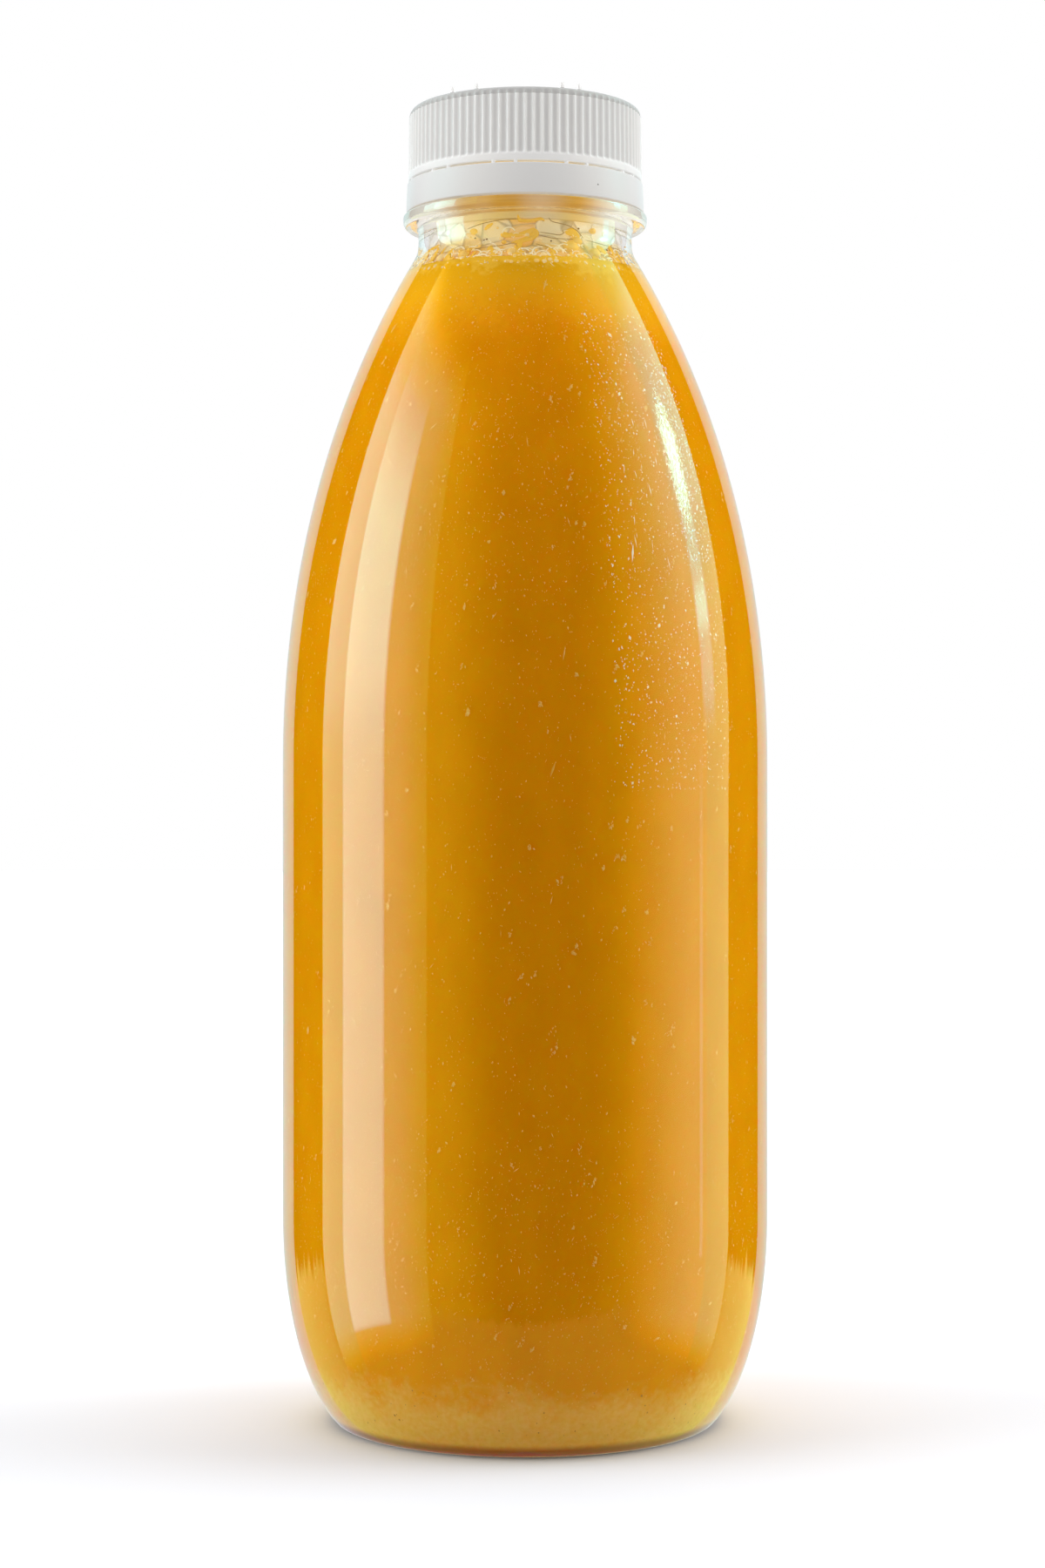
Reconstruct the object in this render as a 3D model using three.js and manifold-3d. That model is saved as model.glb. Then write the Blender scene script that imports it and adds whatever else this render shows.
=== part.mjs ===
// A shut bottle that holds nearly a litre of cloudy amber tonic: a clear blow-moulded bottle, a ribbed
// screw cap with its tamper band, the drink, and the froth that lies on it in the neck.
// Sizes are in millimetres and +Z is up. The origin is the middle of the ring that the bottle stands on.
import * as THREE from 'three';
import { mergeVertices } from 'three/addons/utils/BufferGeometryUtils.js';
import Module from 'manifold-3d';

const wasm = await Module();
wasm.setup();

// Bottle: outside
const BODY_RADIUS = 42.4;
const FOOT_RADIUS = 32.9;          // outer edge of the flat ring it stands on
const FOOT_WIDTH = 2.4;            // that ring's width
const PUSH_UP = 8.5;               // height of the dome under the bottle
const HEEL_TOP = 36;               // the heel's curve meets the straight wall here
const HEEL_SLOPE = THREE.MathUtils.degToRad(44.5);
const HEEL_LEAD = 5.5;             // reach of the heel curve's lower handle
const HEEL_PULL = 20.4;            // and of its upper one
const SHOULDER_FOOT = 115;         // the straight wall starts to lean in here
const SHOULDER_TOP = 201.8;
const SHOULDER_TOP_RADIUS = 20;
const SHOULDER_SLOPE = THREE.MathUtils.degToRad(59.4);
const SHOULDER_PULL = 30.3;        // reach of both handles of the shoulder curve
const NECK_RADIUS = 18.7;          // below the support ring

// Bottle: neck finish
const RING_RADIUS = 21.35;         // support ring that the bottle is carried by in filling
const RING_FOOT = 208;
const RING_TOP = 210.45;
const FINISH_RADIUS = 17.7;        // neck wall above the ring
const BEAD_RADIUS = 19.1;          // bead that holds the tamper band down
const BEAD_FOOT = 212.8;
const BEAD_TOP = 214.9;
const MOUTH = 227.3;
const BORE_RADIUS = 16.2;
const THREAD_DEPTH = 1.05;
const THREAD_PITCH = 4;
const THREAD_TURNS = 1.5;
const THREAD_FOOT = 218.4;

// Bottle: wall
const BODY_WALL = 0.6;
const NECK_WALL = 1.6;
const WALL_GROWS_FROM = 180;       // the blown wall thickens from here up to the neck
const WALL_GROWS_TO = 205;

// Closure
const SKIRT_RADIUS = 20.35;        // over the ribs' crests
const RIB_COUNT = 88;
const RIB_DEPTH = 0.38;
const RIB_FOOT = 217.9;
const RIB_TOP = 227.4;
const SKIRT_FOOT = 216.45;
const SKIRT_BORE = 19.05;
const CAP_TOP = 229;
const CAP_INNER_TOP = 227.6;
const EDGE_RADIUS = 1.15;          // rounding between skirt and top
const PLUG_RADIUS = 15.85;         // sealing ring that reaches into the bore
const PLUG_WALL = 0.9;
const PLUG_DEPTH = 2.1;
const BAND_FOOT = 210.8;
const BAND_TOP = 216.05;
const BAND_FOOT_RADIUS = 20.85;
const BAND_TOP_RADIUS = 20.65;
const BAND_BORE = 19.45;
const LIP_BORE = 18.3;             // lip that catches under the neck's bead
const LIP_TOP = 212.3;
const BRIDGE_PAIRS = 10;           // thin bridges that tear when the cap is first turned
const BRIDGE_PAIR_ANGLE = THREE.MathUtils.degToRad(11);
const BRIDGE_START = THREE.MathUtils.degToRad(-141.6);
const BRIDGE_WIDTH = 0.6;
const BRIDGE_DEPTH = 0.75;
const BRIDGE_OVERLAP = 0.15;       // how far a bridge runs into skirt and band

// Contents
const GAP = 0.3;                   // left between drink, froth and wall
const DRINK_TOP = 199.5;
const FROTH_LOW = 202.2;           // froth's own level between its cells
const FROTH_BUBBLES = 30;
const FROTH_SEED = 41;

const AROUND = 40;                 // flat sides of everything round

const point = (radius, height) => new THREE.Vector2(radius, height);

// Turns an outline of radii and heights about the Z axis.
function turned(outline) {
  return new THREE.LatheGeometry(outline, AROUND).rotateX(Math.PI / 2);
}

// Skin over rings of points, closed at each end to the middle of its end ring. Each ring runs anticlockwise
// seen from the last ring's side.
function skinned(rings) {
  const count = rings[0].length;
  const middle = (ring) => ring.reduce((sum, p) => sum.add(p), new THREE.Vector3()).divideScalar(count);
  const points = [...rings.flat(), middle(rings[0]), middle(rings[rings.length - 1])];
  const first = rings.length * count;
  const faces = [];
  for (let i = 0; i < count; i++) {
    const next = (i + 1) % count;
    for (let level = 0; level < rings.length - 1; level++) {
      const low = level * count;
      const high = low + count;
      faces.push(low + i, low + next, high + next, low + i, high + next, high + i);
    }
    faces.push(first, next, i);
    faces.push(first + 1, (rings.length - 1) * count + i, (rings.length - 1) * count + next);
  }
  const geometry = new THREE.BufferGeometry().setFromPoints(points);
  geometry.setIndex(faces);
  return geometry;
}

// A closed geometry as a solid that can be joined and cut.
function solid(geometry) {
  const bare = geometry.clone();
  bare.deleteAttribute('normal');
  bare.deleteAttribute('uv');
  const merged = mergeVertices(bare, 1e-4);
  const index = merged.index.array;
  const faces = [];
  for (let i = 0; i < index.length; i += 3) {
    const [a, b, c] = index.slice(i, i + 3);
    if (a !== b && b !== c && c !== a) faces.push(a, b, c);
  }
  const mesh = new wasm.Mesh({
    numProp: 3,
    vertProperties: new Float32Array(merged.attributes.position.array),
    triVerts: new Uint32Array(faces),
  });
  return new wasm.Manifold(mesh);
}

function geometryOf(body) {
  const mesh = body.getMesh();
  const geometry = new THREE.BufferGeometry();
  geometry.setAttribute('position', new THREE.BufferAttribute(mesh.vertProperties, 3));
  geometry.setIndex(new THREE.BufferAttribute(mesh.triVerts, 1));
  return geometry;
}

// Helical ridge on a wall of the given radius. It stands out by depth, inwards if depth is negative, and
// runs out to nothing at both ends.
function thread(wallRadius, depth, foot) {
  const steps = Math.round(AROUND * THREAD_TURNS);
  const rootHalf = 0.85;
  const crestHalf = 0.35;
  const sunk = -0.25 * Math.sign(depth);
  const runOut = 4;
  const rings = [];
  for (let i = 0; i <= steps; i++) {
    const angle = (i / AROUND) * 2 * Math.PI - Math.PI / 2;
    const height = foot + (THREAD_PITCH * i) / AROUND;
    const rise = Math.min(1, (Math.min(i, steps - i) + 0.3) / runOut);
    const crest = wallRadius + depth * rise;
    const section = [
      [wallRadius + sunk, -rootHalf], [crest, -crestHalf * rise], [crest, crestHalf * rise],
      [wallRadius + sunk, rootHalf],
    ];
    if (depth > 0) section.reverse();
    const out = new THREE.Vector3(Math.cos(angle), Math.sin(angle), 0);
    const lift = (r, z) => out.clone().multiplyScalar(r).setZ(z);
    rings.push(section.map(([r, dz]) => lift(r, height + dz)));
  }
  return solid(skinned(rings));
}

// Bottle

const shoulder = new THREE.CubicBezierCurve(
  point(BODY_RADIUS, SHOULDER_FOOT),
  point(BODY_RADIUS, SHOULDER_FOOT + SHOULDER_PULL),
  point(
    SHOULDER_TOP_RADIUS + SHOULDER_PULL * Math.cos(SHOULDER_SLOPE),
    SHOULDER_TOP - SHOULDER_PULL * Math.sin(SHOULDER_SLOPE),
  ),
  point(SHOULDER_TOP_RADIUS, SHOULDER_TOP),
);

const heel = new THREE.CubicBezierCurve(
  point(FOOT_RADIUS, 0),
  point(FOOT_RADIUS + HEEL_LEAD * Math.cos(HEEL_SLOPE), HEEL_LEAD * Math.sin(HEEL_SLOPE)),
  point(BODY_RADIUS, HEEL_TOP - HEEL_PULL),
  point(BODY_RADIUS, HEEL_TOP),
);

// From the shoulder's end into the upright neck.
const neckDrop = (SHOULDER_TOP_RADIUS - NECK_RADIUS) * Math.tan(SHOULDER_SLOPE);
const neckRoot = new THREE.QuadraticBezierCurve(
  point(SHOULDER_TOP_RADIUS, SHOULDER_TOP),
  point(NECK_RADIUS, SHOULDER_TOP + neckDrop),
  point(NECK_RADIUS, SHOULDER_TOP + 2 * neckDrop),
);

// Dome under the bottle, from its middle out to the standing ring.
const pushUp = new THREE.CubicBezierCurve(
  point(0, PUSH_UP),
  point(FOOT_RADIUS * 0.45, PUSH_UP),
  point(FOOT_RADIUS * 0.8, PUSH_UP * 0.6),
  point(FOOT_RADIUS - FOOT_WIDTH, 0),
);

const outside = [
  ...pushUp.getPoints(4),
  ...heel.getPoints(7),
  ...shoulder.getPoints(9),
  ...neckRoot.getPoints(2).slice(1),
];

function wallAt(height) {
  return THREE.MathUtils.lerp(
    BODY_WALL, NECK_WALL, THREE.MathUtils.smoothstep(height, WALL_GROWS_FROM, WALL_GROWS_TO),
  );
}

// The same outline, moved in by the wall and by an extra amount, square to the outline at each point.
function inside(extra) {
  return outside.map((p, i) => {
    const before = outside[Math.max(i - 1, 0)];
    const after = outside[Math.min(i + 1, outside.length - 1)];
    const along = i === 0 ? point(1, 0) : after.clone().sub(before).normalize();
    const by = wallAt(p.y) + extra;
    return point(Math.max(p.x - along.y * by, 0), p.y + along.x * by);
  });
}

const finish = [
  point(NECK_RADIUS, RING_FOOT),
  point(RING_RADIUS - 0.8, RING_FOOT + 0.35),
  point(RING_RADIUS, RING_FOOT + 1.1),
  point(RING_RADIUS, RING_TOP - 0.4),
  point(RING_RADIUS - 0.35, RING_TOP),
  point(FINISH_RADIUS, RING_TOP),
  point(FINISH_RADIUS, BEAD_FOOT),
  point(BEAD_RADIUS, BEAD_FOOT + 0.3),
  point(BEAD_RADIUS, BEAD_FOOT + 0.9),
  point(FINISH_RADIUS, BEAD_TOP),
  point(FINISH_RADIUS, MOUTH - 0.4),
  point(FINISH_RADIUS - 0.4, MOUTH),
  point(BORE_RADIUS + 0.3, MOUTH),
  point(BORE_RADIUS, MOUTH - 0.3),
  point(BORE_RADIUS, RING_TOP - 0.8),
  point(NECK_RADIUS - NECK_WALL, RING_FOOT - 1),
];

function makeBottle() {
  const shell = turned([...outside, ...finish, ...inside(0).reverse()]);
  return geometryOf(solid(shell).add(thread(FINISH_RADIUS, THREAD_DEPTH, THREAD_FOOT)));
}

// Drink: fills the bottle up to its level.

// Radius of the drink's or froth's side at a height, along the inside of the shoulder and neck.
const sideLine = inside(GAP);
function sideAt(height) {
  const below = sideLine.findLastIndex((p) => p.y < height);
  if (below === sideLine.length - 1) return NECK_RADIUS - NECK_WALL - GAP;
  const [low, high] = sideLine.slice(below, below + 2);
  return THREE.MathUtils.mapLinear(height, low.y, high.y, low.x, high.x);
}

function makeDrink() {
  const below = sideLine.filter((p) => p.y < DRINK_TOP);
  return turned([...below, point(sideAt(DRINK_TOP), DRINK_TOP), point(0, DRINK_TOP)]);
}

// Froth: one heap of large bubbles in the neck, higher where they cling to the wall.

function seeded(seed) {
  let state = seed;
  return () => {
    state = (state * 1103515245 + 12345) % 2147483648;
    return state / 2147483648;
  };
}

function makeFroth() {
  const random = seeded(FROTH_SEED);
  const reach = sideAt(FROTH_LOW);
  const bubbles = [];
  for (let i = 0; i < FROTH_BUBBLES; i++) {
    const out = reach * Math.sqrt((i + 0.5) / FROTH_BUBBLES);
    const angle = i * Math.PI * (3 - Math.sqrt(5));
    const size = 2.4 + 1.9 * random();
    const lift = 1.1 * random() + 0.9 * (out / reach) ** 3;
    bubbles.push({ x: out * Math.cos(angle), y: out * Math.sin(angle), size, top: FROTH_LOW + lift });
  }
  // Height of the heap: the highest bubble's round top over the spot, or the level between bubbles.
  const heightAt = (x, y) => bubbles.reduce((best, b) => {
    const away = Math.hypot(x - b.x, y - b.y) / b.size;
    return away < 1 ? Math.max(best, b.top + b.size * 0.55 * Math.sqrt(1 - away * away)) : best;
  }, FROTH_LOW);

  const foot = DRINK_TOP + GAP;
  const wallRows = 3;
  const topRows = 8;
  const columns = Array.from({ length: AROUND }, (_, i) => {
    const angle = (i / AROUND) * 2 * Math.PI - Math.PI / 2;
    const way = new THREE.Vector2(Math.cos(angle), Math.sin(angle));
    const brim = heightAt(way.x * reach, way.y * reach);
    const side = Array.from({ length: wallRows + 1 }, (__, row) => {
      const height = THREE.MathUtils.lerp(foot, brim, row / wallRows);
      return new THREE.Vector3(way.x * sideAt(height), way.y * sideAt(height), height);
    });
    const top = Array.from({ length: topRows - 1 }, (__, row) => {
      const out = sideAt(brim) * (1 - (row + 1) / topRows);
      return new THREE.Vector3(way.x * out, way.y * out, heightAt(way.x * out, way.y * out));
    });
    return [...side, ...top];
  });
  const rings = columns[0].map((_, row) => columns.map((column) => column[row]));
  return skinned(rings);
}

// Closure: cap and tamper band, moulded as one piece and joined by thin bridges.

function makeSkirt() {
  const columns = 2 * RIB_COUNT;
  const plain = SKIRT_RADIUS + 0.1;
  const edge = SKIRT_RADIUS - EDGE_RADIUS;
  const levels = [
    [SKIRT_FOOT, plain, plain],
    [RIB_FOOT - 0.3, plain, plain],
    [RIB_FOOT, SKIRT_RADIUS, SKIRT_RADIUS - RIB_DEPTH],
    [RIB_TOP, SKIRT_RADIUS - 0.05, SKIRT_RADIUS - RIB_DEPTH],
    [CAP_TOP - EDGE_RADIUS * 0.8, SKIRT_RADIUS - 0.3, SKIRT_RADIUS - 0.3],
    [CAP_TOP - EDGE_RADIUS * 0.25, edge + EDGE_RADIUS * 0.45, edge + EDGE_RADIUS * 0.45],
    [CAP_TOP, edge, edge],
  ];
  return solid(skinned(levels.map(([height, crest, root]) => Array.from({ length: columns }, (_, i) => {
    const angle = (i / columns) * 2 * Math.PI;
    const radius = i % 2 ? root : crest;
    return new THREE.Vector3(radius * Math.cos(angle), radius * Math.sin(angle), height);
  }))));
}

function makeClosure() {
  const hollow = solid(turned([
    point(0, SKIRT_FOOT - 1),
    point(SKIRT_BORE, SKIRT_FOOT - 1),
    point(SKIRT_BORE, CAP_INNER_TOP - 0.5),
    point(SKIRT_BORE - 0.5, CAP_INNER_TOP),
    point(PLUG_RADIUS, CAP_INNER_TOP),
    point(PLUG_RADIUS, CAP_INNER_TOP - PLUG_DEPTH + 0.6),
    point(PLUG_RADIUS - 0.4, CAP_INNER_TOP - PLUG_DEPTH),
    point(PLUG_RADIUS - PLUG_WALL, CAP_INNER_TOP - PLUG_DEPTH),
    point(PLUG_RADIUS - PLUG_WALL, CAP_INNER_TOP),
    point(0, CAP_INNER_TOP),
  ]));
  const band = solid(turned([
    point(LIP_BORE + 0.5, BAND_FOOT),
    point(BAND_FOOT_RADIUS - 0.25, BAND_FOOT),
    point(BAND_FOOT_RADIUS, BAND_FOOT + 0.3),
    point(BAND_TOP_RADIUS, BAND_TOP - 0.2),
    point(BAND_TOP_RADIUS - 0.2, BAND_TOP),
    point(BAND_BORE, BAND_TOP),
    point(BAND_BORE, LIP_TOP + 0.4),
    point(LIP_BORE, LIP_TOP),
    point(LIP_BORE + 0.5, BAND_FOOT),
  ]));
  let body = makeSkirt().subtract(hollow);
  body = body.add(thread(SKIRT_BORE, -THREAD_DEPTH, THREAD_FOOT + THREAD_PITCH / 2));
  body = body.add(band);

  const bridgeHeight = SKIRT_FOOT - BAND_TOP + 2 * BRIDGE_OVERLAP;
  const bridgeRadius = (BAND_TOP_RADIUS + BAND_BORE) / 2;
  for (let i = 0; i < 2 * BRIDGE_PAIRS; i++) {
    const pair = Math.floor(i / 2);
    const angle = BRIDGE_START + (pair * 2 * Math.PI) / BRIDGE_PAIRS + (i % 2) * BRIDGE_PAIR_ANGLE;
    const bridge = new THREE.BoxGeometry(BRIDGE_DEPTH, BRIDGE_WIDTH, bridgeHeight);
    bridge.translate(bridgeRadius, 0, (SKIRT_FOOT + BAND_TOP) / 2).rotateZ(angle);
    body = body.add(solid(bridge));
  }
  return geometryOf(body);
}

const clearPlastic = new THREE.MeshStandardMaterial({
  color: 0xf2f0e6, roughness: 0.06, metalness: 0, transparent: true, opacity: 0.3,
});
const amberDrink = new THREE.MeshStandardMaterial({ color: 0xc98709, roughness: 0.35, metalness: 0 });
const paleFroth = new THREE.MeshStandardMaterial({ color: 0xe9c777, roughness: 0.3, metalness: 0 });
const whitePlastic = new THREE.MeshStandardMaterial({ color: 0xeeeeec, roughness: 0.38, metalness: 0 });

const part = new THREE.Group();
part.name = 'tonic_bottle';

function add(name, geometry, material) {
  const mesh = new THREE.Mesh(geometry, material);
  mesh.name = name;
  part.add(mesh);
}

add('bottle', makeBottle(), clearPlastic);
add('drink', makeDrink(), amberDrink);
add('froth', makeFroth(), paleFroth);
add('screw_cap', makeClosure(), whitePlastic);

export default part;
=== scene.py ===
"""Looks of a shut, clear bottle of cloudy amber tonic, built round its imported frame. Sizes are in metres."""

import bpy
import numpy as np
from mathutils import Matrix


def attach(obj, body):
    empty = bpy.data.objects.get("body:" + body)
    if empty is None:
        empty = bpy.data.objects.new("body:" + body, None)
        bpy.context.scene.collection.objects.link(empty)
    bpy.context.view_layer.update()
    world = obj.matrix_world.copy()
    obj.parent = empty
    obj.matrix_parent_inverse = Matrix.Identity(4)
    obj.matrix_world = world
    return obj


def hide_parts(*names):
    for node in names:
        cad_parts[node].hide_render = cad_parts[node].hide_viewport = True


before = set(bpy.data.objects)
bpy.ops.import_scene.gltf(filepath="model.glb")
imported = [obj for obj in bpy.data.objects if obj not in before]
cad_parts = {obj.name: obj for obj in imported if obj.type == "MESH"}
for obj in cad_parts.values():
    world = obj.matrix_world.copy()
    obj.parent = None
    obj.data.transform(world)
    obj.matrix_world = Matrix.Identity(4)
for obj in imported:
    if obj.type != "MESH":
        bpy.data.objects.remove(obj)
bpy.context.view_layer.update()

MM = 0.001


# The bottle: clear polyester, blown from a moulded blank whose neck keeps its moulded shape. The wall is
# under half a millimetre in the body and thickens into the neck, with a push-up dome and a standing ring
# below, and a support ring, a bead and a screw finish above.

BODY_RADIUS = 42.4 * MM
FOOT_RADIUS, FOOT_WIDTH, FOOT_EDGE = 32.9 * MM, 2.4 * MM, 0.35 * MM
PUSH_UP = 8.5 * MM
HEEL_TOP, HEEL_LEAD, HEEL_PULL = 36 * MM, 5.5 * MM, 20.4 * MM
HEEL_SLOPE = np.radians(44.5)
SHOULDER_FOOT, SHOULDER_TOP, SHOULDER_PULL = 115 * MM, 201.8 * MM, 30.3 * MM
SHOULDER_TOP_RADIUS = 20 * MM
SHOULDER_SLOPE = np.radians(59.4)
NECK_RADIUS = 18.7 * MM
RING_RADIUS, RING_FOOT, RING_TOP = 21.35 * MM, 208 * MM, 210.45 * MM
BEAD_RADIUS, BEAD_FOOT, BEAD_TOP = 19.1 * MM, 212.8 * MM, 214.9 * MM
FINISH_RADIUS, MOUTH = 17.7 * MM, 227.3 * MM
BORE_RADIUS, BORE_FOOT = 16.2 * MM, RING_TOP - 0.8 * MM
BODY_WALL, NECK_WALL = 0.45 * MM, 1.6 * MM
WALL_THICKENS = (180 * MM, 205 * MM)
NECK_CORNER, FOOT_CORNER = 0.35 * MM, 0.3 * MM
SIDES = 192
GLASS_TINT, SHADE_TINT = (0.985, 0.985, 0.975, 1), (0.95, 0.95, 0.94, 1)


def bezier(handles, count):
    """Points of the cubic curve with these four handles, at count even steps of its parameter."""
    t = np.linspace(0, 1, count)[:, None]
    a, b, c, d = np.array(handles, float)
    return (1 - t) ** 3 * a + 3 * t * (1 - t) ** 2 * b + 3 * t ** 2 * (1 - t) * c + t ** 3 * d


def rounded(corners, radius, steps=5):
    """A polyline whose inner corners are replaced by quadratic curves that start radius before each corner
    and end radius after it, or halfway along a shorter side."""
    corners = np.array(corners, float)
    into = corners[1:-1] - corners[:-2]
    out = corners[2:] - corners[1:-1]
    start = corners[1:-1] - into * np.minimum(radius / np.linalg.norm(into, axis=1, keepdims=True), 0.48)
    end = corners[1:-1] + out * np.minimum(radius / np.linalg.norm(out, axis=1, keepdims=True), 0.48)
    t = np.linspace(0, 1, steps)[None, :, None]
    arcs = (1 - t) ** 2 * start[:, None] + 2 * t * (1 - t) * corners[1:-1, None] + t ** 2 * end[:, None]
    return np.vstack([corners[:1], arcs.reshape(-1, 2), corners[-1:]])


def smooth(value, start, end):
    """Smooth step: three times the square less twice the cube of the share, from 0 to 1, of the way from
    start to end that value has gone."""
    share = np.clip((value - start) / (end - start), 0, 1)
    return share ** 2 * (3 - 2 * share)


def moved_in(outline, by):
    """The outline moved square to itself by a distance, to its left as it is walked."""
    along = np.gradient(outline, axis=0)
    along /= np.linalg.norm(along, axis=1, keepdims=True)
    by = np.broadcast_to(by, len(outline))[:, None]
    return outline + by * np.stack([-along[:, 1], along[:, 0]], axis=1)


def turned(outline, sides):
    """Grid of points: row i is the ring that outline point i (radius, height) sweeps about the Z axis."""
    angle = np.arange(sides) * (2 * np.pi / sides)
    radius, height = outline[:, :1], outline[:, 1:]
    return np.stack([radius * np.cos(angle), radius * np.sin(angle), height + 0 * angle], axis=2)


def new_piece(name, points, faces, tints=None):
    """An object of these points and faces. Tints, if given, are one colour for each point, kept as the
    colour attribute tint."""
    mesh = bpy.data.meshes.new(name)
    mesh.from_pydata(np.asarray(points).tolist(), [], faces)
    if tints is not None:
        colour = np.hstack([tints, np.ones((len(tints), 1))])
        mesh.color_attributes.new("tint", "FLOAT_COLOR", "POINT").data.foreach_set("color", colour.ravel())
    piece = bpy.data.objects.new(name, mesh)
    bpy.context.scene.collection.objects.link(piece)
    return piece


def skin(name, grids, tints=None):
    """A smooth mesh over grids of points whose columns close on themselves. A first or last row whose points
    coincide is a pole with triangles round it, and a last row that repeats the first one is welded to it."""
    points, faces, first = [], [], 0
    for grid in grids:
        rows, columns = grid.shape[:2]
        index = first + np.arange(rows * columns).reshape(rows, columns)
        for row in (0, rows - 1):
            if np.ptp(grid[row], axis=0).max() < 1e-9:
                index[row] = index[row, 0]
        if np.abs(grid[0] - grid[-1]).max() < 1e-9:
            index[-1] = index[0]
        a, b = index[:-1], index[1:]
        quads = np.stack([a, np.roll(a, -1, 1), np.roll(b, -1, 1), b], axis=2).reshape(-1, 4)
        points.append(grid.reshape(-1, 3))
        faces += [list(dict.fromkeys(quad)) for quad in quads.tolist()]
        first += rows * columns
    piece = new_piece(name, np.vstack(points), faces, tints)
    piece.data.polygons.foreach_set("use_smooth", np.ones(len(piece.data.polygons), bool))
    return piece


def new_material(name, settings):
    """A material whose Principled BSDF has these settings. Returns it, that shader, and the two calls that
    add a node and a link to it, which the sections below name node and link while they build a material."""
    material = bpy.data.materials.new(name)
    material.use_nodes = True
    tree = material.node_tree
    shader = tree.nodes["Principled BSDF"]
    for socket, value in settings.items():
        shader.inputs[socket].default_value = value
    return material, shader, tree.nodes.new, tree.links.new


def mixed(factor, first, second):
    """The first shader where factor is 0, the second where it is 1."""
    mix = node("ShaderNodeMixShader")
    for socket, source in zip(mix.inputs, (factor, first, second)):
        link(source, socket)
    return mix.outputs[0]


dome = bezier([(0, PUSH_UP), (FOOT_RADIUS * 0.45, PUSH_UP), (FOOT_RADIUS * 0.8, PUSH_UP * 0.6),
               (FOOT_RADIUS - FOOT_WIDTH, 0.1 * MM)], 16)
ring = rounded([dome[-1], (FOOT_RADIUS - FOOT_WIDTH * 0.8, 0), (FOOT_RADIUS - 0.2 * MM, 0),
                (FOOT_RADIUS + FOOT_EDGE, FOOT_EDGE)], FOOT_CORNER)
heel = bezier([ring[-1],
               (FOOT_RADIUS + HEEL_LEAD * np.cos(HEEL_SLOPE), HEEL_LEAD * np.sin(HEEL_SLOPE)),
               (BODY_RADIUS, HEEL_TOP - HEEL_PULL), (BODY_RADIUS, HEEL_TOP)], 36)
straight = np.stack([np.full(10, BODY_RADIUS), np.linspace(HEEL_TOP, SHOULDER_FOOT, 12)[1:-1]], axis=1)
shoulder = bezier([(BODY_RADIUS, SHOULDER_FOOT), (BODY_RADIUS, SHOULDER_FOOT + SHOULDER_PULL),
                   (SHOULDER_TOP_RADIUS + SHOULDER_PULL * np.cos(SHOULDER_SLOPE),
                    SHOULDER_TOP - SHOULDER_PULL * np.sin(SHOULDER_SLOPE)),
                   (SHOULDER_TOP_RADIUS, SHOULDER_TOP)], 60)
neck_lead = (SHOULDER_TOP_RADIUS - NECK_RADIUS) * np.tan(SHOULDER_SLOPE)
neck_root = bezier([(SHOULDER_TOP_RADIUS, SHOULDER_TOP),
                    (NECK_RADIUS + 0.3 * MM, SHOULDER_TOP + 0.75 * neck_lead),
                    (NECK_RADIUS, SHOULDER_TOP + neck_lead), (NECK_RADIUS, SHOULDER_TOP + 2 * neck_lead)], 12)
base = np.vstack([dome[:-1], ring[:-1]])
blown = np.vstack([base, heel, straight, shoulder, neck_root[1:]])
wall = BODY_WALL + (NECK_WALL - BODY_WALL) * smooth(blown[:, 1], *WALL_THICKENS)
finish = rounded([
    neck_root[-1], (NECK_RADIUS, RING_FOOT), (RING_RADIUS - 0.5 * MM, RING_FOOT + 0.45 * MM),
    (RING_RADIUS, RING_FOOT + 1.1 * MM), (RING_RADIUS, RING_TOP), (FINISH_RADIUS, RING_TOP),
    (FINISH_RADIUS, BEAD_FOOT), (BEAD_RADIUS, BEAD_FOOT + 0.3 * MM), (BEAD_RADIUS, BEAD_FOOT + 0.9 * MM),
    (FINISH_RADIUS, BEAD_TOP), (FINISH_RADIUS, MOUTH), (BORE_RADIUS, MOUTH), (BORE_RADIUS, BORE_FOOT),
    (NECK_RADIUS - NECK_WALL, RING_FOOT - 1 * MM),
], NECK_CORNER)
inside = moved_in(blown, wall)
inside[0, 0] = 0
bottle = skin("bottle_shell", [turned(np.vstack([blown, finish[1:-1], inside[::-1]]), SIDES)])

clear_plastic, glass, node, link = new_material("clear_plastic", {
    "Base Color": GLASS_TINT, "Roughness": 0.03, "IOR": 1.57, "Transmission Weight": 1})
# Shadows and matt surfaces look straight through the wall, so the light on the drink is even.
ray = node("ShaderNodeLightPath")
surface = glass.outputs[0]
for kind_of_ray in ("Is Diffuse Ray", "Is Shadow Ray"):
    straight_through = node("ShaderNodeBsdfTransparent")
    straight_through.inputs[0].default_value = SHADE_TINT
    surface = mixed(ray.outputs[kind_of_ray], surface, straight_through.outputs[0])
link(surface, clear_plastic.node_tree.nodes["Material Output"].inputs["Surface"])
bottle.data.materials.append(clear_plastic)
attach(bottle, "root")
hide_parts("bottle")


# The drink: cloudy amber liquid that fills the bottle up to the root of the neck. Fine pulp has settled as
# a paler layer at the bottom, and a dark brown edge at the foot is painted shade where it meets the floor.
# Towards the top the drink is lighter, which is painted light, and just below the froth it is paler again,
# partly froth and partly painted light. It reaches just into the wall, so no air gap shows.

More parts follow.
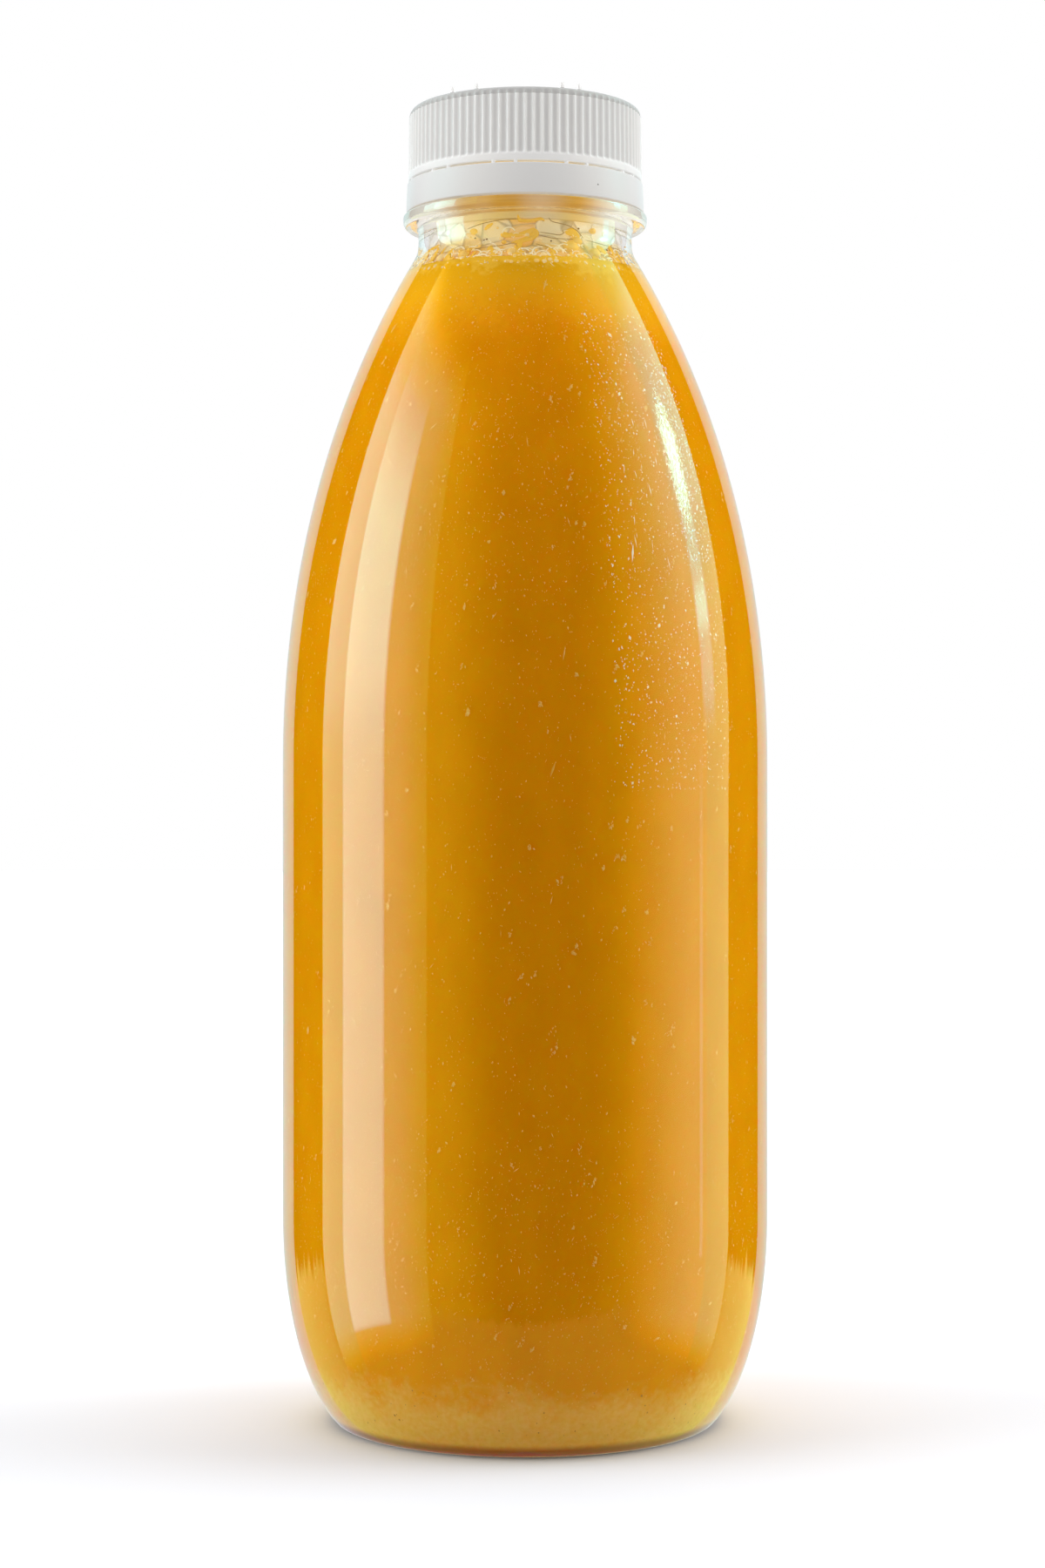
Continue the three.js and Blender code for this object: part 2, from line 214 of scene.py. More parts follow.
DRINK_TOP = 199.5 * MM
INTO_WALL = 0.2 * MM
MENISCUS_RISE, MENISCUS_REACH = 0.5 * MM, 2 * MM
AMBER, AMBER_DEEP = (0.795, 0.37, 0.002), (0.755, 0.335, 0.001)
SETTLED, SETTLED_DEEP = (0.88, 0.57, 0.12), (0.82, 0.48, 0.07)
# The top colour is painted light, the froth colour is partly froth and partly painted light, and the foot
# colour is painted shade.
TOP_PAINTED_LIGHT, FROTHY_PAINTED_LIGHT, FOOT_PAINTED_SHADE = (0.87, 0.43, 0.008), (0.94, 0.53, 0.04), (0.2, 0.11, 0.02)
SETTLED_ZONE, TOP_LIGHT_ZONE, FROTHY_LIGHT_ZONE = (14 * MM, 6 * MM), (183 * MM, 195 * MM), (197 * MM, 199.6 * MM)
# The foot's colour and zone are painted shade where the bottle meets the floor.
FOOT_SHADE_ZONE = (2.6 * MM, 1.0 * MM)
GLOW_ZONE = (DRINK_TOP, DRINK_TOP - 14 * MM)
GLOW_DEPTHS, GLOW_REACH = (1.0, 0.142, 0.029), 36 * MM

side_line = moved_in(blown, wall - INTO_WALL)
side_line[0, 0] = 0
flank_r, flank_z = side_line[len(base):].T
edge = np.interp(DRINK_TOP, flank_z, flank_r)
below = side_line[side_line[:, 1] < DRINK_TOP - 0.4 * MM]
meniscus = bezier([(edge, DRINK_TOP + MENISCUS_RISE),
                   (edge - 0.25 * MENISCUS_REACH, DRINK_TOP + 0.2 * MENISCUS_RISE),
                   (edge - 0.6 * MENISCUS_REACH, DRINK_TOP), (edge - MENISCUS_REACH, DRINK_TOP)], 6)
level = np.array([(edge * share, DRINK_TOP) for share in (0.7, 0.4, 0.0)])
drink = skin("drink_body", [turned(np.vstack([below, meniscus, level]), SIDES)])

amber, liquid, node, link = new_material("amber_drink", {
    "Roughness": 0.5, "Specular IOR Level": 0, "Subsurface Radius": GLOW_DEPTHS,
    "Subsurface Scale": GLOW_REACH})
place = node("ShaderNodeTexCoord").outputs["Object"]
height = node("ShaderNodeSeparateXYZ")
link(place, height.inputs[0])


def feed(socket, value):
    """Puts a number, a colour or what another node gives into a socket."""
    if isinstance(value, tuple):
        socket.default_value = (*value, 1)
    elif isinstance(value, (int, float)):
        socket.default_value = value
    else:
        link(value, socket)


def math(operation, *values):
    """One step of arithmetic on numbers and sockets."""
    step = node("ShaderNodeMath")
    step.operation = operation
    for socket, value in zip(step.inputs, values):
        feed(socket, value)
    return step.outputs[0]


def ease(value, start, end, first=0.0, last=1.0, course="SMOOTHSTEP"):
    """Goes from first to last as value goes from start to end, in a smooth step or on a straight line."""
    step = node("ShaderNodeMapRange")
    step.interpolation_type = course
    link(value, step.inputs["Value"])
    for key, number in (("From Min", start), ("From Max", end), ("To Min", first), ("To Max", last)):
        step.inputs[key].default_value = number
    return step.outputs["Result"]


def blend(factor, first, second, kind="RGBA"):
    """The first colour, or number, where factor is 0 and the second where it is 1."""
    mixer = node("ShaderNodeMix")
    mixer.data_type = kind
    for key, value in (("Factor", factor), ("A", first), ("B", second)):
        feed(mixer.inputs[key], value)
    return mixer.outputs["Result"]


def cloud(where, scale, detail, stretch=(1, 1, 1)):
    """Cloudy noise with scale bumps to a unit of the place, near 0.3 to 0.7."""
    spread = node("ShaderNodeMapping")
    spread.inputs["Scale"].default_value = stretch
    noise = node("ShaderNodeTexNoise")
    noise.inputs["Scale"].default_value = scale
    noise.inputs["Detail"].default_value = detail
    link(where, spread.inputs[0])
    link(spread.outputs[0], noise.inputs["Vector"])
    return noise.outputs["Fac"]


def clouded(scale, detail, low, high, stretch=(1, 1, 1)):
    """Cloudy noise on the piece, scale bumps to a metre, from low to high."""
    return ease(cloud(place, scale, detail, stretch), 0.3, 0.7, low, high, "LINEAR")


def zoned(value, zone, first, second):
    """The first colour before a zone (start, end) of the height, and the second colour past it."""
    return blend(ease(value, *zone), first, second)


ragged = math("ADD", clouded(scale=140, detail=3, low=-1.8 * MM, high=1.8 * MM),
              clouded(scale=900, detail=8, low=-1.6 * MM, high=1.6 * MM))
uneven_height = math("ADD", height.outputs["Z"], ragged)
body_amber = blend(clouded(scale=160, detail=4, low=0, high=1, stretch=(1, 1, 0.5)), AMBER, AMBER_DEEP)
sediment = blend(clouded(scale=1100, detail=4, low=0, high=1), SETTLED, SETTLED_DEEP)
layered = zoned(uneven_height, SETTLED_ZONE, body_amber, sediment)
# Painted light: lighter towards the top, and lighter and paler still just under the froth, partly froth.
layered = zoned(uneven_height, TOP_LIGHT_ZONE, layered, TOP_PAINTED_LIGHT)
layered = zoned(uneven_height, FROTHY_LIGHT_ZONE, layered, FROTHY_PAINTED_LIGHT)
# Painted shade: dark brown in the lowest millimetres, where the bottle meets the floor.
layered = zoned(height.outputs["Z"], FOOT_SHADE_ZONE, layered, FOOT_PAINTED_SHADE)
link(layered, liquid.inputs["Base Color"])
link(ease(height.outputs["Z"], *GLOW_ZONE), liquid.inputs["Subsurface Weight"])
drink.data.materials.append(amber)
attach(drink, "root")
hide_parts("drink")


# The pulp: soft pale flecks, a few fibres, clusters and dark specks, which hang in the drink right behind
# the wall, everywhere round the bottle. Where the wall mirrors the lamp, more flecks are added in pale and
# white as painted glints, and fine scratches of the wall are short bits drawn bright, also as painted glints.

PULP_SEED = 7
FLECKS, FIBRES, SPECKS, SCRATCHES = 24000, 320, 260, 34
CLUSTERS, CLUSTER_SIZE = 420, 9
BIT_DEPTH, BIT_PROUD = 0.04 * MM, 0.02 * MM
PALE_PULP, DEEP_PULP, DARK_PULP = (0.92, 0.62, 0.14), (0.84, 0.45, 0.02), (0.3, 0.12, 0.01)
# Painted glints: the pale and white tints of flecks and scratches by the lamp's reflection.
PAINTED_PALE_GLINT, PAINTED_WHITE_GLINT = (1.0, 0.95, 0.72), (1.0, 1.0, 0.95)
FRONT = -np.pi / 2
EVERY_WAY = (-np.pi, np.pi)
LAMP_SIDE = (FRONT + 0.35, FRONT + 0.95)
BY_LAMP = (FRONT + 0.74, FRONT + 0.93)
SCUFFED = (FRONT + 0.45, FRONT + 0.85)

flank_slope = np.gradient(flank_r) / np.gradient(flank_z)
rng = np.random.default_rng(PULP_SEED)


def on_wall(angle, z, out):
    """Point and frame (round the bottle, up along the wall, outwards) of the drink's side at this angle and
    height, moved out by a distance."""
    r = np.interp(z, flank_z, flank_r)
    slope = np.interp(z, flank_z, flank_slope)
    steep = np.sqrt(1 + slope ** 2)
    flat = np.stack([np.cos(angle), np.sin(angle), 0 * angle], axis=1)
    up = np.array([[0, 0, 1.0]])
    away = (flat - slope[:, None] * up) / steep[:, None]
    along = (slope[:, None] * flat + up) / steep[:, None]
    point = flat * r[:, None] + up * z[:, None] + away * out
    return point, np.cross(away, along), along, away


def bits(angle, z, long, wide, lean):
    """Squashed octahedra on the wall: corners lie long and wide from the middle along the wall, turned by
    lean, and the depth of a bit in front of it and behind it. Returns points and faces."""
    point, across, along, away = on_wall(angle, z, BIT_PROUD)
    ahead = (np.sin(lean)[:, None] * across + np.cos(lean)[:, None] * along) * long[:, None]
    beside = (np.cos(lean)[:, None] * across - np.sin(lean)[:, None] * along) * wide[:, None]
    front = away * BIT_DEPTH
    corners = np.stack([point + ahead, point + beside, point - ahead, point - beside,
                        point + front, point - front], axis=1)
    pattern = [(0, 4, 3), (3, 4, 2), (2, 4, 1), (1, 4, 0), (3, 5, 0), (2, 5, 3), (1, 5, 2), (0, 5, 1)]
    faces = np.array(pattern)[None] + np.arange(len(point))[:, None, None] * 6
    return corners.reshape(-1, 3), faces.reshape(-1, 3)


def strewn(name, angle, z, long, slender, lean, shades):
    """A piece of bits at these angles and heights, about long and long times slender in size, each tinted
    at random between the two shades, mostly near the first."""
    count = len(angle)
    long = long * rng.lognormal(0, 0.4, count)
    wide = long * slender * rng.uniform(0.6, 1.3, count)
    corners, faces = bits(angle, z, long, wide, lean)
    share = np.repeat(rng.beta(1.2, 2.6, count), 6)[:, None]
    return new_piece(name, corners, faces.tolist(), shades[0] + share * np.subtract(shades[1], shades[0]))


def tinted(name, roughness):
    """A material whose base colour is the mesh's own colour attribute tint."""
    material, shader, node, link = new_material(name, {"Roughness": roughness})
    attribute = node("ShaderNodeAttribute")
    attribute.attribute_name = "tint"
    link(attribute.outputs["Color"], shader.inputs["Base Color"])
    return material


pulp = []
for name, count, angles, heights, long, slender, shades in (
        ("flecks", FLECKS, EVERY_WAY, (3, 198), 0.12, 0.5, (DEEP_PULP, PALE_PULP)),
        ("high_flecks", FLECKS // 4, EVERY_WAY, (140, 199), 0.12, 0.5, (DEEP_PULP, PALE_PULP)),
        ("low_flecks", FLECKS // 4, EVERY_WAY, (9, 50), 0.12, 0.5, (DEEP_PULP, PALE_PULP)),
        # Rows tinted with the glint colours are painted glints of the lamp's reflection.
        ("painted_glint_flecks", FLECKS // 12, LAMP_SIDE, (110, 190), 0.13, 0.6, (PAINTED_PALE_GLINT, PALE_PULP)),
        ("fibres", FIBRES, EVERY_WAY, (20, 195), 0.5, 0.12, (DEEP_PULP, PALE_PULP)),
        ("painted_lamp_glints", FLECKS // 40, BY_LAMP, (148, 182), 0.14, 0.5, (PAINTED_WHITE_GLINT, PAINTED_PALE_GLINT)),
        ("scratch_glints", SCRATCHES, SCUFFED, (145, 172), 0.75, 0.1, (PAINTED_PALE_GLINT, PALE_PULP)),
        ("specks", SPECKS, EVERY_WAY, (2, 12), 0.13, 0.6, (DARK_PULP, DEEP_PULP))):
    angle, z = rng.uniform(*angles, count), rng.uniform(*heights, count) * MM
    lean = rng.normal(0, 0.1 if name == "scratch_glints" else 0.5, count)
    pulp.append(strewn(name, angle, z, long * MM, slender, lean, shades))
angle = np.repeat(rng.uniform(*EVERY_WAY, CLUSTERS), CLUSTER_SIZE)
z = np.repeat(rng.uniform(14, 190, CLUSTERS), CLUSTER_SIZE) * MM
spread = rng.normal(0, 1, (2, angle.size)) * np.repeat(rng.uniform(0.15, 0.5, CLUSTERS), CLUSTER_SIZE) * MM
angle = angle + (0.5 * spread[0] + 0.4 * spread[1]) / BODY_RADIUS
pulp.append(strewn("clusters", angle, z + spread[1], 0.2 * MM, 0.5, rng.normal(0, 0.5, angle.size),
                   (DEEP_PULP, PALE_PULP)))
pale_pulp = tinted("pale_pulp", 0.6)
for piece in pulp:
    piece.data.materials.append(pale_pulp)
    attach(piece, "root")


# The bed of froth: large thin bubbles pressed against each other and the inside of the neck, golden near the
# level and clear by the sides of the neck, with thin brown film where two bubbles meet.

FROTH_SEED = 23
FROTH_FOOT, FROTH_RIM, FROTH_MIDDLE = 198.9 * MM, 207.2 * MM, 204.0 * MM
FROTH_COLUMNS, FROTH_ROWS, FROTH_RINGS = 640, 56, 22
FROTH_GAP = 0.3 * MM
CELLS, CELL_REACH = 110, 9.5 * MM
CELL_EDGE, CELL_BULGE, CELL_ROUND = 0.3 * MM, 0.42 * MM, 1.2 * MM
GOLDEN_CELLS = 0.16
TAN, CREAM, GOLD, FILM = (0.86, 0.67, 0.28), (0.93, 0.82, 0.52), (0.88, 0.51, 0.05), (0.34, 0.21, 0.06)
SIDE_CLEAR = (0.88, 0.87, 0.82)
GOLD_LEVEL, GOLD_FADE = 202.4 * MM, 1.2 * MM
CLEAR_LEVEL, CLEAR_FADE = 203.2 * MM, 1.6 * MM
FACES_FRONT = (0.5, 0.88)

rng = np.random.default_rng(FROTH_SEED)
neck_r = NECK_RADIUS - NECK_WALL


def inner_radius(z):
    """Radius of the wall's inner face at a height in the neck."""
    face = inside[-40:]
    return np.interp(z, face[:, 1], face[:, 0])


def ripple(u, v, wavelength, seed, waves=14):
    """Smooth noise about 0: cosines of about one wavelength in seeded directions, summed and divided by the
    square root of their number."""
    draw = np.random.default_rng(seed)
    heading, phase = draw.uniform(0, 2 * np.pi, (2, waves))
    stretch = draw.uniform(0.7, 1.4, waves) * 2 * np.pi / wavelength
    turn = u[..., None] * np.cos(heading) + v[..., None] * np.sin(heading)
    return np.cos(turn * stretch + phase).sum(-1) / np.sqrt(waves)


def towards(tint, colour, share):
    """The tint moved towards a colour by a share of the way."""
    return tint + share * (np.array(colour) - tint)


around = np.arange(FROTH_COLUMNS) * (2 * np.pi / FROTH_COLUMNS) - np.pi
rim = FROTH_RIM + 0.8 * MM * ripple(np.cos(around) * neck_r, np.sin(around) * neck_r, 9 * MM, seed=3)
wall_z = FROTH_FOOT + (rim - FROTH_FOOT)[None, :] * np.linspace(0, 1, FROTH_ROWS)[:, None]

cell_angle = rng.uniform(-np.pi, np.pi, CELLS)
cell_z = FROTH_FOOT + rng.beta(1.0, 1.15, CELLS) * CELL_REACH
cell_growth = ((cell_z - FROTH_FOOT) / (8 * MM)).clip(0, 1)
cell_size = (0.4 + 2.2 * cell_growth) * rng.uniform(0.6, 1.3, CELLS) * MM
turn_gap = (around[None, :, None] - cell_angle + np.pi) % (2 * np.pi) - np.pi
reach = np.hypot(turn_gap * neck_r * 0.8, wall_z[:, :, None] - cell_z) - cell_size
order = np.sort(reach, axis=2)
nearest = reach.argmin(axis=2)
edge_gap = order[:, :, 1] - order[:, :, 0]
bulge = np.clip(edge_gap / CELL_ROUND, 0, 1)
radius = inner_radius(wall_z) - FROTH_GAP - CELL_BULGE * bulge * (2 - bulge)
wall_grid = np.stack([radius * np.cos(around), radius * np.sin(around), wall_z], axis=2)
shrink = np.linspace(1, 0, FROTH_RINGS)[1:, None]
top_r = radius[-1] * shrink
top_u, top_v = top_r * np.cos(around), top_r * np.sin(around)
top_z = (FROTH_MIDDLE + (wall_z[-1] - FROTH_MIDDLE) * shrink ** 3
         + 0.5 * MM * shrink * ripple(top_u, top_v, 4 * MM, seed=5))
froth_grid = np.vstack([wall_grid[:1] * [0, 0, 1], wall_grid, np.stack([top_u, top_v, top_z], axis=2)])

cell_tint = towards(np.array(TAN), CREAM, rng.beta(0.9, 1.2, (CELLS, 1)))
golden = (rng.uniform(size=CELLS) < GOLDEN_CELLS)[:, None]
cell_tint = np.where(golden, towards(np.array(TAN), GOLD, 0.5), cell_tint)
ragged = 0.7 * MM * ripple(around * neck_r, wall_z, 3 * MM, seed=17)
near_level = np.clip((GOLD_LEVEL + ragged - wall_z) / GOLD_FADE, 0, 1)
high_up = np.clip((wall_z - CLEAR_LEVEL) / CLEAR_FADE, 0, 1)
at_side = (1 - smooth(np.abs(np.sin(around)), *FACES_FRONT)) * high_up
on_edge = np.clip(1 - edge_gap / CELL_EDGE, 0, 1)
wall_tint = towards(cell_tint[nearest], GOLD, 0.75 * near_level[:, :, None])
wall_tint = towards(wall_tint, SIDE_CLEAR, at_side[:, :, None])
wall_tint = towards(wall_tint, FILM, 0.7 * on_edge[:, :, None])
top_tint = np.broadcast_to(np.array(CREAM), top_z.shape + (3,))
froth = skin("froth_bed", [froth_grid], np.vstack([wall_tint[:1], wall_tint, top_tint]).reshape(-1, 3))
wet_froth = tinted("wet_froth", 0.18)
froth.data.materials.append(wet_froth)
froth.visible_shadow = False
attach(froth, "root")
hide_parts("froth")


# The marks on the wall of the neck: thick amber smears and tongues that the froth has left, brown edges of
# large films, pale arcs along the level that are rims of fine foam drawn pale as painted highlight, and dark
# specks of pulp. Those in front lie as in the photo, and the rest go all the way round. Points are (x, z)
# in millimetres as seen from the front.

FOAM_RIM_HIGHLIGHTS, TONGUES, BACK_SMEARS = 380, 90, 26
ON_WALL = 0.3 * MM
SMEAR_DEPTH, FILM_DEPTH = 0.16 * MM, 0.12 * MM
FILM_HALF_WIDTH, SPECK_HALF_WIDTH = 0.07 * MM, 0.14 * MM
SPECK_BROWN = (0.12, 0.05, 0.01)
TONGUE_FOOT, ARC_FOOT = 199.9, 198.9
TONGUE_WIDTHS = np.array([0.9, 0.8, 0.55, 0.2])

SMEARS = [
    ((-4.0, -2.6, -1.0, 0.5, 1.4), (204.2, 203.9, 204.0, 204.5, 205.3), (0.75, 0.45, 0.4, 0.5, 0.3)),
    ((1.4, 1.7, 0.9, -0.6, -2.2), (205.3, 204.3, 203.4, 202.8, 202.4), (0.35, 0.7, 0.6, 0.45, 0.15)),
    ((-8.9, -8.3, -7.9), (205.4, 205.0, 204.6), (0.4, 0.6, 0.35)),
    ((-5.6, -5.0, -4.8), (201.8, 201.3, 200.5), (0.5, 0.5, 0.25)),
    ((-0.6, -1.0, -1.8), (202.7, 201.6, 200.2), (0.3, 0.45, 0.7)),
    ((6.5, 7.6, 8.7), (204.7, 204.9, 203.9), (0.45, 0.8, 0.4)),
    ((11.2, 11.7, 12.1), (202.7, 202.1, 201.2), (0.3, 0.45, 0.3)),
    ((-15.6, -14.9, -13.6), (201.6, 202.7, 203.4), (0.2, 0.35, 0.2)),
    ((-1.2, -1.0, 0.6, 2.6, 3.2), (207.7, 206.6, 206.5, 207.0, 206.5), (0.15, 0.3, 0.2, 0.3, 0.15)),
    ((-6.6, -6.0, -5.2), (205.2, 205.8, 206.3), (0.2, 0.35, 0.15)),
]
FILM_LINES = [
    ((-9.2, -5.5, -3.7, -1.3, 1.5), (201.3, 201.8, 201.9, 202.5, 203.9)),
    ((2.1, 5.6, 6.3, 6.0), (204.6, 204.1, 204.6, 205.1)),
    ((2.1, 4.3, 6.2, 9.0), (204.0, 203.4, 203.4, 203.6)),
    ((9.5, 13.8, 15.8), (203.6, 202.8, 202.5)),
    ((3.8, 4.3, 7.0, 8.6, 9.4), (207.2, 206.5, 206.1, 205.2, 203.8)),
    ((-9.5, -7.4, -4.2, -0.8), (205.6, 206.3, 206.8, 206.9)),
    ((1.6, 2.8, 4.4), (202.2, 201.8, 201.2)),
]
PULP_SPECKS = [(-8.0, 203.7), (-6.1, 203.3), (-6.5, 203.1), (3.0, 206.6), (8.7, 205.6), (4.1, 202.8),
               (-11.2, 201.0), (12.6, 202.0)]


def stroke(x, z, half_width, depth=SMEAR_DEPTH, steps=26, sides=10):
    """A smear on the neck's inner wall: an oval section drawn along a line through points given in
    millimetres as seen from the front, with its half width changing along it and running out to nothing at
    both ends."""
    t = np.linspace(0, 1, steps)
    knots = np.linspace(0, 1, len(x))
    x, z = (np.interp(t, knots, np.array(v) * MM) for v in (x, z))
    half = np.interp(t, knots, half_width)
    for _ in range(3):
        x[1:-1] = (x[:-2] + 2 * x[1:-1] + x[2:]) / 4
        z[1:-1] = (z[:-2] + 2 * z[1:-1] + z[2:]) / 4
    half = half * np.sqrt(np.clip(1 - (2 * t - 1) ** 6, 0, 1))
    along = np.stack([np.gradient(x), np.gradient(z)], axis=1)
    along /= np.linalg.norm(along, axis=1, keepdims=True)
    turn = np.arange(sides) * (2 * np.pi / sides)
    px = x[:, None] - along[:, 1:] * half[:, None] * np.cos(turn)
    pz = z[:, None] + along[:, :1] * half[:, None] * np.cos(turn)
    thin = np.minimum(1, half / half.max())[:, None]
    deep = inner_radius(pz) + ON_WALL - depth * thin * (1 - np.sin(turn)) / 2
    angle = np.arcsin(np.clip(px / neck_r, -0.99, 0.99)) + FRONT
    return np.stack([deep * np.cos(angle), deep * np.sin(angle), pz], axis=2)


def swung(grid, angle):
    """The grid turned round the bottle's axis by an angle."""
    c, s = np.cos(angle), np.sin(angle)
    return grid @ np.array([[c, s, 0], [-s, c, 0], [0, 0, 1]])


def per_point(grids, tints):
    """One tint for each point of the grids, which have one tint each."""
    return np.vstack([np.broadcast_to(tint, (grid.shape[0] * grid.shape[1], 3))
                      for grid, tint in zip(grids, tints)])


grids, tints = [], []
for _ in range(TONGUES):
    centre = rng.uniform(*EVERY_WAY)
    rise = np.linspace(-0.4, rng.exponential(0.8) + 0.2, 4)
    sway, thick = rng.normal(0, 0.35, 4), TONGUE_WIDTHS * rng.uniform(0.4, 1.1)
    grids.append(swung(stroke(sway, TONGUE_FOOT + rise, thick * MM, steps=12, sides=6), centre))
    tints.append(GOLD)
# Pale arcs along the level: rims of fine foam, partly foam and partly painted highlight.
for _ in range(FOAM_RIM_HIGHLIGHTS):
    centre = rng.uniform(*EVERY_WAY)
    lift, size = rng.exponential(1.5) + ARC_FOOT, rng.uniform(0.3, 1.4)
    sweep = rng.uniform(-0.9, 0.9) + np.linspace(0.2, rng.uniform(1.6, 4.2), 7)
    thick = np.full(7, rng.uniform(0.05, 0.13))
    grids.append(swung(stroke(size * np.cos(sweep), lift + size * np.sin(sweep), thick * MM,
                              steps=14, sides=6), centre))
    tints.append(CREAM)
for x, z, half in SMEARS:
    grids.append(stroke(x, z, np.array(half) * MM))
    tints.append(GOLD)
for x, z in FILM_LINES:
    grids.append(stroke(x, z, np.full(len(x), FILM_HALF_WIDTH), FILM_DEPTH))
    tints.append(FILM)
for x, z in PULP_SPECKS:
    grids.append(stroke((x - 0.15, x + 0.15), (z, z + 0.08), np.full(2, SPECK_HALF_WIDTH), steps=8))
    tints.append(SPECK_BROWN)
for angle in rng.uniform(1.1, 5.2, BACK_SMEARS):
    x = np.sort(rng.uniform(-1.6, 1.6, 3))
    z = rng.uniform(200.5, 206.5) + rng.uniform(-0.8, 0.8, 3)
    grids.append(swung(stroke(x, z, rng.uniform(0.15, 0.6, 3) * MM), angle))
    tints.append(GOLD)
marks = skin("froth_marks", grids, per_point(grids, tints))
marks.data.materials.append(tinted("amber_smear", 0.15))
marks.visible_shadow = False
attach(marks, "root")
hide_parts("froth")


# The neck film: a thin wet skin of drink that climbs the bore from the froth up under the cap. It is gold
# at the support ring and tan elsewhere, in front and at the back, and nearly clear by the sides of the neck.

FILM_FOOT, FILM_TOP, FILM_HALF_DEPTH = 206.9 * MM, 218.5 * MM, 0.06 * MM
FILM_ROWS, FILM_BACK_ROWS, FILM_COLUMNS = 30, 3, 240
NECK_GOLD, NECK_TAN, NECK_CLEAR = (0.56, 0.28, 0.03), (0.74, 0.52, 0.17), (0.84, 0.82, 0.76)
GOLD_BAND, GOLD_BAND_WIDTH = 210.7 * MM, 0.9 * MM

film_z = np.concatenate([np.linspace(FILM_FOOT, FILM_TOP, FILM_ROWS),
                         np.linspace(FILM_TOP, FILM_FOOT, FILM_BACK_ROWS + 1)[1:]])
film_face = np.interp(film_z, [RING_FOOT, BORE_FOOT], [neck_r, BORE_RADIUS])
film_out = np.where(np.arange(len(film_z)) < FILM_ROWS, FILM_HALF_DEPTH, -FILM_HALF_DEPTH)
film_line = np.stack([film_face + film_out, film_z], axis=1)
film_line = np.vstack([film_line, film_line[:1]])
film_turn = np.arange(FILM_COLUMNS) * (2 * np.pi / FILM_COLUMNS)
streaks = 0.9 + 0.15 * ripple(np.cos(film_turn) * neck_r, np.sin(film_turn) * neck_r, 12 * MM, seed=11)
share = np.clip(streaks * smooth(np.abs(np.sin(film_turn)), *FACES_FRONT), 0, 1)[None, :, None]
golden = np.exp(-((film_line[:, 1] - GOLD_BAND) / GOLD_BAND_WIDTH) ** 2)[:, None, None]
film_tint = towards(np.array(NECK_CLEAR), towards(np.array(NECK_TAN), NECK_GOLD, golden), share)
film = skin("neck_film", [turned(film_line, FILM_COLUMNS)], film_tint.reshape(-1, 3))
film.data.materials.append(wet_froth)
film.visible_shadow = False
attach(film, "root")
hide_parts("froth")


# The bubbles: small round ones in a fringe along the level, right behind the wall. The six largest in front
# lie as in the photo, given as (x, z, radius) in millimetres, and the rest are strewn.

BUBBLES = 420
BUBBLE_FOOT, BUBBLE_SPREAD = 198.6 * MM, 1.5 * MM
BUBBLE_SMALLEST, BUBBLE_USUAL, BUBBLE_LARGEST = 0.12, 0.16, 0.5
BUBBLE_ROWS, BUBBLE_COLUMNS = 11, 16
LARGE_BUBBLES = np.array([(7.3, 201.8, 1.5), (10.7, 201.0, 1.15), (8.3, 203.1, 1.15), (-2.0, 200.6, 0.9),
                          (-9.3, 200.6, 1.0), (-12.6, 200.4, 1.1)]) * MM

bubble_r = (BUBBLE_SMALLEST + rng.exponential(BUBBLE_USUAL, BUBBLES).clip(0, BUBBLE_LARGEST)) * MM
bubble_z = BUBBLE_FOOT + rng.exponential(BUBBLE_SPREAD, BUBBLES) + bubble_r * 0.4
bubble_tint = towards(np.array(GOLD), CREAM, rng.beta(0.9, 1.6, (BUBBLES, 1)))
bubble_angle = rng.uniform(*EVERY_WAY, BUBBLES)
large = slice(len(LARGE_BUBBLES))
bubble_r[large], bubble_z[large] = LARGE_BUBBLES[:, 2], LARGE_BUBBLES[:, 1]
bubble_angle[large] = np.arcsin(LARGE_BUBBLES[:, 0] / neck_r) + FRONT
polar = np.linspace(-np.pi / 2, np.pi / 2, BUBBLE_ROWS)
ball = turned(np.stack([np.cos(polar), np.sin(polar)], axis=1), BUBBLE_COLUMNS)
off = inner_radius(bubble_z) + 0.42 * MM - bubble_r * 0.85
middles = np.stack([off * np.cos(bubble_angle), off * np.sin(bubble_angle), bubble_z], axis=1)
grids = [middle + ball * r * [1, 1, 0.9] for middle, r in zip(middles, bubble_r)]
bubbles = skin("froth_bubbles", grids, per_point(grids, bubble_tint))
bubbles.data.materials.append(tinted("bubble_skin", 0.08))
bubbles.visible_shadow = False
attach(bubbles, "root")
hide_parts("froth")


# The screw cap and its tamper band: one white satin moulding. Fine ribs run round the skirt, with painted
# shade in their grooves and a painted dark reflection on the rounded rim. Thin bridges cross the slit
# between skirt and band, four small nibs stand on the rim, and one dark speck of dirt sits on the band.

RIB_COUNT, RIB_COLUMNS = 88, 12
SKIRT_RADIUS, SKIRT_LIP, RIB_DEPTH, RIB_SHARPNESS = 20.35 * MM, 0.1 * MM, 0.38 * MM, 2.2
RIB_FOOT, RIB_TOP = 217.9 * MM, 227.4 * MM
SKIRT_FOOT, SKIRT_BORE, CAP_TOP, CAP_INNER_TOP = 216.45 * MM, 19.05 * MM, 229 * MM, 227.6 * MM
SEAL_BORE, SEAL_RADIUS, SEAL_FOOT = 14.95 * MM, 15.85 * MM, 225.5 * MM
BAND_FOOT, BAND_TOP = 210.8 * MM, 216.05 * MM
BAND_RADIUS, BAND_LEAN, BAND_BORE = 20.85 * MM, 0.2 * MM, 19.45 * MM
CATCH_RADIUS, CATCH_TOP = 18.3 * MM, 212.7 * MM
BRIDGE_ANGLES = np.radians(-141.6 + np.arange(10)[:, None] * 36 + np.array([0, 11])).ravel()
